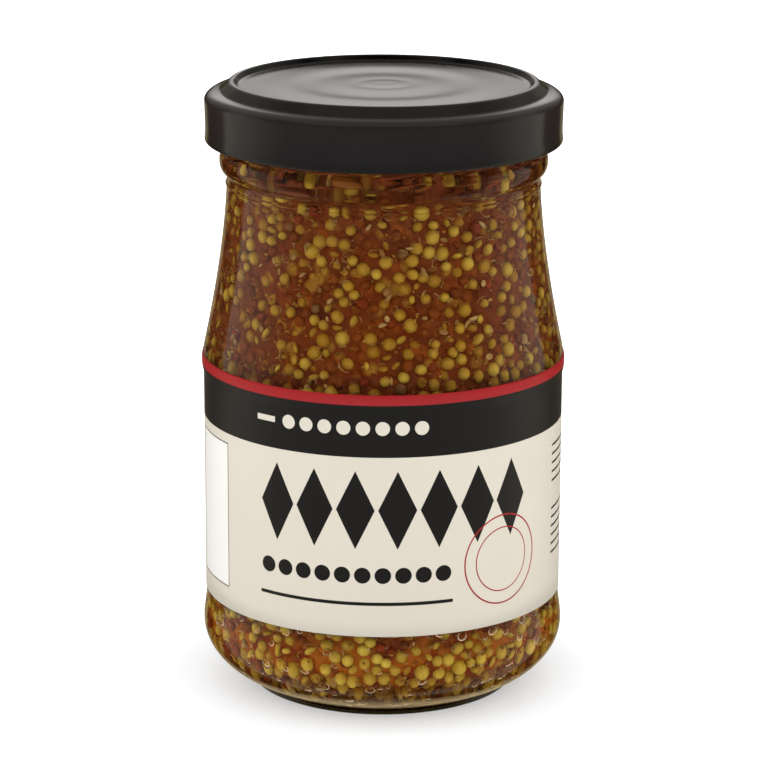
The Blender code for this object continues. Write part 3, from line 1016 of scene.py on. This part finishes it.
def build_core():
    """Core of packed mustard behind the seeds: the inner line set in, with a relief of crossed waves."""
    line = set_out(wall_line, -CORE_DEPTH)
    line = line[line[:, 0] > 0.002]
    way = way_along(line)
    even = np.linspace(0.0, way[-1], 240)
    line = np.stack([np.interp(even, way, line[:, 0]), np.interp(even, way, line[:, 1])], -1)
    top = [(line[-1, 0] * share, MUSTARD_LEVEL - 0.0006) for share in (0.95, 0.6, 0.3, 0.0)]
    line = np.concatenate([[(0.0, line[0, 1])], line, top])

    def relief(angle, rows):
        """Lumps as wide as a seed: two pairs of crossed waves, faded out near the axis."""
        radius, height = rows[:, :1], rows[:, 1:]
        lumps = np.sin(62 * angle + 700 * height) * np.sin(2300 * height + 9 * angle)
        lumps = lumps + 0.7 * np.sin(41 * angle - 900 * height + 1.1) * np.sin(1500 * height - 23 * angle)
        return 0.00022 * eased((radius - 0.004) / 0.006) * lumps

    return turned("deep_mustard", line[::-1], 300, deep_mustard(), relief)


def build_crumbs():
    """Bits of crushed seed in the sauce: small uneven lumps from dark to pale."""
    places = thrown(16000, UNDER_LID, 0.35, 0.0, (0.0007, 0.0015))
    count = len(places)
    sizes = rng.uniform(0.00012, 0.00042, (count, 1)) * rng.uniform(0.5, 1.2, (count, 3))
    coat = seed_coat("Crushed seed", colour(192, 146, 68), colour(132, 80, 32), colour(124, 66, 20), 0.4)
    return joined("crumbs", unit_ball(5, 2), places, sizes, random_turns(count), coat,
                  rng.uniform(0.0, 1.0, count) ** 1.3, rng.uniform(0.0, 0.6, count))


def build_husks():
    """Thin shed skins: caps of a ball with a wall, lying at all angles between the seeds."""
    places = thrown(3400, UNDER_LID, 0.26, 0.02, (0.0004, 0.0015))
    count = len(places)
    sizes = rng.uniform(0.00055, 0.00115, (count, 1))
    sizes = sizes * rng.uniform([0.40, 0.8, 0.5], [1.0, 1.15, 1.0], (count, 3))
    return joined("husks", unit_cap(4, 9), places, sizes, random_turns(count), husk_skin("Seed husk"),
                  rng.uniform(0.0, 0.75, count))


def build_curls(near_yellow):
    """Thin curled edges of split skins: crescents round some of the near yellow seeds, and loose ones."""
    round_seed = near_yellow[rng.uniform(size=len(near_yellow)) < 0.50]
    loose = thrown(2600, UNDER_LID, 0.34, 0.05, (0.0003, 0.0010))
    size = np.concatenate([round_seed[:, 3] * rng.uniform(1.0, 1.14, len(round_seed)),
                           rng.uniform(0.00045, 0.00110, len(loose))])
    places = np.concatenate([round_seed[:, :3], loose])
    places = places + outwards(places) * 0.00015
    count = len(places)
    turns = laid_on_wall(places, rng.uniform(-math.pi, math.pi, count), rng.normal(0.0, 0.45, count))
    sizes = size[:, None] * rng.uniform([0.8, 0.7, 0.8], [1.05, 1.3, 1.05], (count, 3))
    return joined("skin_curls", unit_crescent(1.15, 0.062, 8), places, sizes, turns, husk_skin("Skin curl"),
                  rng.uniform(0.3, 1.0, count))


def build_smears():
    """Seeds and sauce dragged round the glass under the lid: balls drawn out and pressed flat, darker towards
    the hem as a painted shade under the lid.
    """
    places = thrown(16000, UNDER_LID, 0.0, 0.7, (0.0003, 0.0013))
    count = len(places)
    sizes = rng.uniform([0.0006, 0.0002, 0.00008], [0.0036, 0.0005, 0.00034], (count, 3))
    turns = laid_on_wall(places, rng.normal(0.0, 0.10, count), 0.0)
    patch = patchy(places, 500.0, SMEAR_WAVES)
    tones = np.clip(0.30 + 1.2 * (patch - 0.5) + rng.normal(0.0, 0.15, count), 0.0, 1.0)
    # Painted shade: tones fall to the deep colour just under the lid's hem.
    tones = tones * (1.0 - eased((places[:, 2] - 0.0930) / 0.0015))
    coat = seed_coat("Smeared mustard", colour(176, 122, 38), colour(108, 44, 10), colour(116, 52, 14), 0.4)
    return joined("smears", unit_ball(8, 3), places, sizes, turns, coat, tones, rng.uniform(0.25, 0.9, count),
                  SMEAR_FADE)


def build_bubbles():
    """Air bubbles against the glass, most of them low in the jar, and under each a crescent that is a painted
    highlight.
    """
    places = thrown(9000, BUBBLES_BELOW, 0.24, 0.035, (0.0, 0.00001))
    count = len(places)
    size = 0.00022 + 0.00066 * rng.uniform(size=(count, 1)) ** 1.7
    outward = outwards(places)
    centres = places - outward * (size + 0.00008)
    sizes = np.repeat(size, 3, 1)
    bubbles = joined("bubbles", unit_ball(10, 5), centres, sizes, random_turns(count), air_bubble())
    turns = laid_on_wall(places, rng.normal(0.0, 0.35, count), rng.normal(0.25, 0.15, count))
    # Painted highlights are brighter low in the jar.
    tones = (places[:, 2] < BUBBLES_BELOW) * rng.uniform(0.4, 1.0, count) + 0.1
    nearer = centres + outward * 0.55 * size
    crescent = unit_crescent(2.70, 0.105, 12)
    painted_highlights = joined("painted_bubble_highlights", crescent, nearer, sizes * 0.93, turns, painted_bubble_highlight(), tones)
    return bubbles, painted_highlights


# Label and lid


def build_label():
    """Sheet that follows the glass: angle from one edge to the other by height, then given its thickness."""
    below_ledge = np.linspace(LABEL_BOTTOM, LEDGE_LOW, 12)[:-1]
    heights = np.concatenate([below_ledge, np.linspace(LEDGE_LOW, LABEL_TOP, 12)])
    radius = np.interp(heights, fine_heights, fine_outer) + LABEL_GAP
    angle = np.linspace(-LABEL_HALF_ANGLE, LABEL_HALF_ANGLE, 181)
    points = ringed(radius[:, None], angle - math.pi / 2, heights[:, None])
    faces = grid_faces(len(heights), len(angle), False)[:, ::-1]
    label = put_mesh("paper_label", points, [faces], printed_paper())
    sheet = label.modifiers.new("Paper", "SOLIDIFY")
    sheet.thickness = LABEL_THICKNESS
    sheet.offset = 1.0
    return label


def lid_line():
    """The lid from its middle over the top and in under the hem: shallow eased steps, a raised ring, a
    valley, an elliptic corner, the skirt, a round hem and the inner face. The raised ring has a steep, evened
    inner side and a straight outer side."""
    radius = np.linspace(0.0, LID_PANEL_RADIUS, 100)
    height = np.full(len(radius), LID_PANEL_HEIGHT)
    for place, rise, width in LID_STEPS:
        height = height + rise * (eased((radius - place + width / 2) / width) - 1.0)
    panel = np.stack([radius, height], -1)
    climb = np.linspace(0.0, 1.0, 14)[1:]
    steep = evened(np.interp(np.linspace(0.0, 1.0, 131), [0.0, 0.30, 0.78, 1.0], [0.0, 0.01, 0.96, 1.0]), 3)
    inner = np.stack([blend(LID_PANEL_RADIUS, LID_CREST_RADIUS, climb),
                      blend(LID_PANEL_HEIGHT, LID_CREST_HEIGHT, steep[10::10])], -1)
    way = np.linspace(0.0, 1.0, 12)[1:]
    fall = np.interp(way, [0.0, 0.16, 0.92, 1.0], [0.0, 0.07, 0.95, 1.0])
    outer = np.stack([blend(LID_CREST_RADIUS, LID_VALLEY_RADIUS, way),
                      blend(LID_CREST_HEIGHT, LID_VALLEY_HEIGHT, fall)], -1)
    start = math.radians(62.0)
    turn = np.linspace(start, 0.0, 12)
    across = (np.cos(turn) - math.cos(start)) / (1.0 - math.cos(start))
    corner = np.stack([blend(LID_SHELF_RADIUS, LID_RADIUS, across),
                       blend(LID_SKIRT_TOP, LID_SHELF_HEIGHT, np.sin(turn) / math.sin(start))], -1)
    skirt = [(LID_RADIUS - 0.00012, LID_BOTTOM + 0.0032), (LID_RADIUS - 0.00012, LID_BOTTOM + 0.0016)]
    turn = np.radians(np.linspace(20.0, -200.0, 12))
    hem = np.stack([LID_RADIUS + LID_HEM_RADIUS * (np.cos(turn) - 1.0),
                    LID_BOTTOM + LID_HEM_RADIUS * (np.sin(turn) + 1.0)], -1)
    inside = [(LID_RADIUS - 0.0012, LID_BOTTOM + 0.0016), (LID_RADIUS - 0.0007, LID_BOTTOM + 0.0020),
              (LID_RADIUS - 0.0007, LID_SKIRT_TOP - 0.0006),
              (LID_VALLEY_RADIUS - 0.0002, LID_VALLEY_HEIGHT - 0.00055), (0.0, LID_VALLEY_HEIGHT - 0.0013)]
    return np.concatenate([panel, inner, outer, corner, skirt, hem, inside])


def build_lid():
    """Twist-off lid, turned from its line."""
    return turned("lid_shell", lid_line(), 180, black_enamel())


# Stage, light and camera


def build_floor():
    """Plain pale floor, wide enough for every view. Its emission is painted light: a soft glow that keeps it
    white, lightens the jar's shadow and lights the jar from below, weaker near the jar and stronger away from
    it.
    """
    made = Maker("Pale floor")
    reach = made.node("ShaderNodeVectorMath", operation="LENGTH")
    made.feed(reach.inputs[0], made.place)
    # Painted light: the floor glows, less near the jar than away from it.
    painted_glow = made.ranged(reach.outputs["Value"], 0.036, 0.070, 0.40, 1.15)
    base = made.mix(made.patches(3.0, 0.3, 0.7), (0.66, 0.675, 0.695, 1.0), (0.68, 0.695, 0.715, 1.0))
    made.set(Base_Color=base, Roughness=0.9, Specular_IOR_Level=0.0)
    made.set(Emission_Color=(0.955, 0.985, 1.015, 1.0), Emission_Strength=painted_glow)
    points = [(-FLOOR_REACH, -FLOOR_REACH, 0.0), (FLOOR_REACH, -FLOOR_REACH, 0.0),
              (FLOOR_REACH, FLOOR_REACH, 0.0), (-FLOOR_REACH, FLOOR_REACH, 0.0)]
    floor = put_mesh("floor", points, [np.array([[0, 1, 2, 3]])], made.material, smooth=False)
    floor.visible_glossy = False


# Light of the surround as places with their colours, from the front at 0 to the back at 1: well below the
# horizon, just below it, low over it, halfway up and overhead. The first three have a soft panel at the side.
DARK_FRONT = ((0.0, 0.03, 0.03, 0.03), (0.22, 0.03, 0.03, 0.03))
SKY_DOWN = (*DARK_FRONT, (0.60, 0.42, 0.375, 0.31), (0.75, 0.53, 0.475, 0.40), (0.785, 0.05, 0.03, 0.01),
            (0.945, 0.03, 0.02, 0.01), (0.966, 0.32, 0.26, 0.15), (1.0, 0.34, 0.29, 0.19))
SKY_BELOW = (*DARK_FRONT, (0.60, 0.41, 0.385, 0.34), (0.75, 0.51, 0.48, 0.43), (0.785, 0.05, 0.03, 0.01),
             (0.94, 0.04, 0.02, 0.01), (1.0, 0.05, 0.04, 0.02))
SKY_LOW = ((0.0, 0.0, 0.0, 0.0), (0.30, 0.02, 0.02, 0.02), (0.60, 0.45, 0.44, 0.42), (0.75, 0.5, 0.49, 0.47),
           (0.785, 0.10, 0.08, 0.06), (0.90, 0.15, 0.13, 0.11), (0.970, 0.34, 0.32, 0.29),
           (0.990, 1.60, 1.57, 1.51), (1.0, 1.68, 1.65, 1.58))
SKY_HALFWAY = ((0.0, 0.0, 0.0, 0.0), (0.50, 0.0, 0.0, 0.0), (0.70, 0.25, 0.24, 0.22), (1.0, 0.46, 0.44, 0.41))
SKY_OVERHEAD = ((0.0, 0.0, 0.0, 0.0), (0.35, 0.0, 0.0, 0.0), (0.45, 0.38, 0.36, 0.33),
                (1.0, 0.30, 0.28, 0.26))


def build_sky():
    """Soft studio light as a surround: brightest behind the jar, a panel at each side, dark in front."""
    world = bpy.data.worlds.new("Studio")
    bpy.context.scene.world = world
    world.use_nodes = True
    made = Nodes(world.node_tree, "Generated")
    calc = made.calc
    east, north, up = made.split("XYZ", made.place)
    level = calc("MAXIMUM", made.reach(east, north), 0.001)
    behind = calc("ADD", calc("MULTIPLY", calc("DIVIDE", north, level), 0.5), 0.5)

    def ramp(value, stops):
        """A smooth ramp of colours."""
        ramped = made.node("ShaderNodeValToRGB")
        ramped.color_ramp.interpolation = "EASE"
        made.feed(ramped.inputs[0], value)
        points = ramped.color_ramp.elements
        while len(points) < len(stops):
            points.new(0.5)
        for point, (place, *light) in zip(points, stops):
            point.position = place
            point.color = (*light, 1.0)
        return ramped.outputs[0]

    mixed = ramp(behind, SKY_DOWN)
    for start, span, sight, stops in ((-0.15, 0.10, behind, SKY_BELOW), (0.045, 0.26, behind, SKY_LOW),
                                      (0.36, 0.22, behind, SKY_HALFWAY),
                                      (0.82, 0.08, calc("MULTIPLY_ADD", north, 0.5, 0.5), SKY_OVERHEAD)):
        risen = calc("MAXIMUM", calc("DIVIDE", calc("SUBTRACT", up, start), span), 0.0)
        mixed = made.mix(calc("SMOOTH_MIN", risen, 1.0, 0.2), mixed, ramp(sight, stops))
    made.feed(made.tree.nodes["Background"].inputs["Color"], mixed)


def build_sun(name, energy, spread, from_top, round_jar, tint):
    """A wide, even lamp that leaves no mirror image: its power, and in degrees its spread, its tilt from
    straight above towards the front and its turn round the jar, then its colour."""
    lamp = bpy.data.lights.new(name, "SUN")
    lamp.energy = energy
    lamp.angle = math.radians(spread)
    lamp.color = tint
    holder = bpy.data.objects.new(name, lamp)
    holder.rotation_euler = (math.radians(from_top), 0.0, math.radians(round_jar))
    holder.visible_glossy = False
    bpy.context.scene.collection.objects.link(holder)


def build_camera():
    """Camera at the photo's viewing angle."""
    lens = bpy.data.cameras.new("camera")
    lens.sensor_width = 36.0
    lens.lens = 36.0 * FOCAL_PIXELS / PHOTO_WIDTH
    lens.clip_start = 0.01
    lens.clip_end = 50.0
    holder = bpy.data.objects.new("camera", lens)
    holder.location = CAMERA_PLACE
    tilt = Matrix.Rotation(math.radians(90.0 - CAMERA_DOWN), 3, "X")
    holder.rotation_euler = (tilt @ Matrix.Rotation(math.radians(CAMERA_ROLL), 3, "Z")).to_euler()
    bpy.context.scene.collection.objects.link(holder)
    bpy.context.scene.camera = holder


def settle(node, slot, *pieces):
    """Fix pieces to the part's one body and hide the node that they stand for. The slot is not used."""
    for piece in pieces:
        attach(piece, "root")
        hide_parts(node)


build_camera()
build_floor()
build_sky()
build_sun("overhead", 2.65, 110, 10, 0, (1.0, 1.0, 1.0))
for side, round_jar in (("left_fill", -70), ("right_fill", 70)):
    build_sun(side, 1.14, 90, 82, round_jar, (1.0, 0.97, 0.91))
settle("jar", "clear_glass", build_glass())
settle("mustard", "wholegrain_mustard", build_jelly(), build_core())
seed_pieces, near_yellow = build_seeds()
settle("mustard", "wholegrain_mustard", *seed_pieces, build_crumbs(), build_husks(), build_curls(near_yellow),
       build_smears(), *build_bubbles())
settle("label", "label_paper", build_label())
settle("lid", "black_enamel", build_lid())

bpy.context.scene.view_settings.view_transform = "Standard"
bpy.context.scene.cycles.caustics_reflective = False
bpy.context.scene.cycles.caustics_refractive = True
bpy.context.scene.cycles.transparent_max_bounces = 24
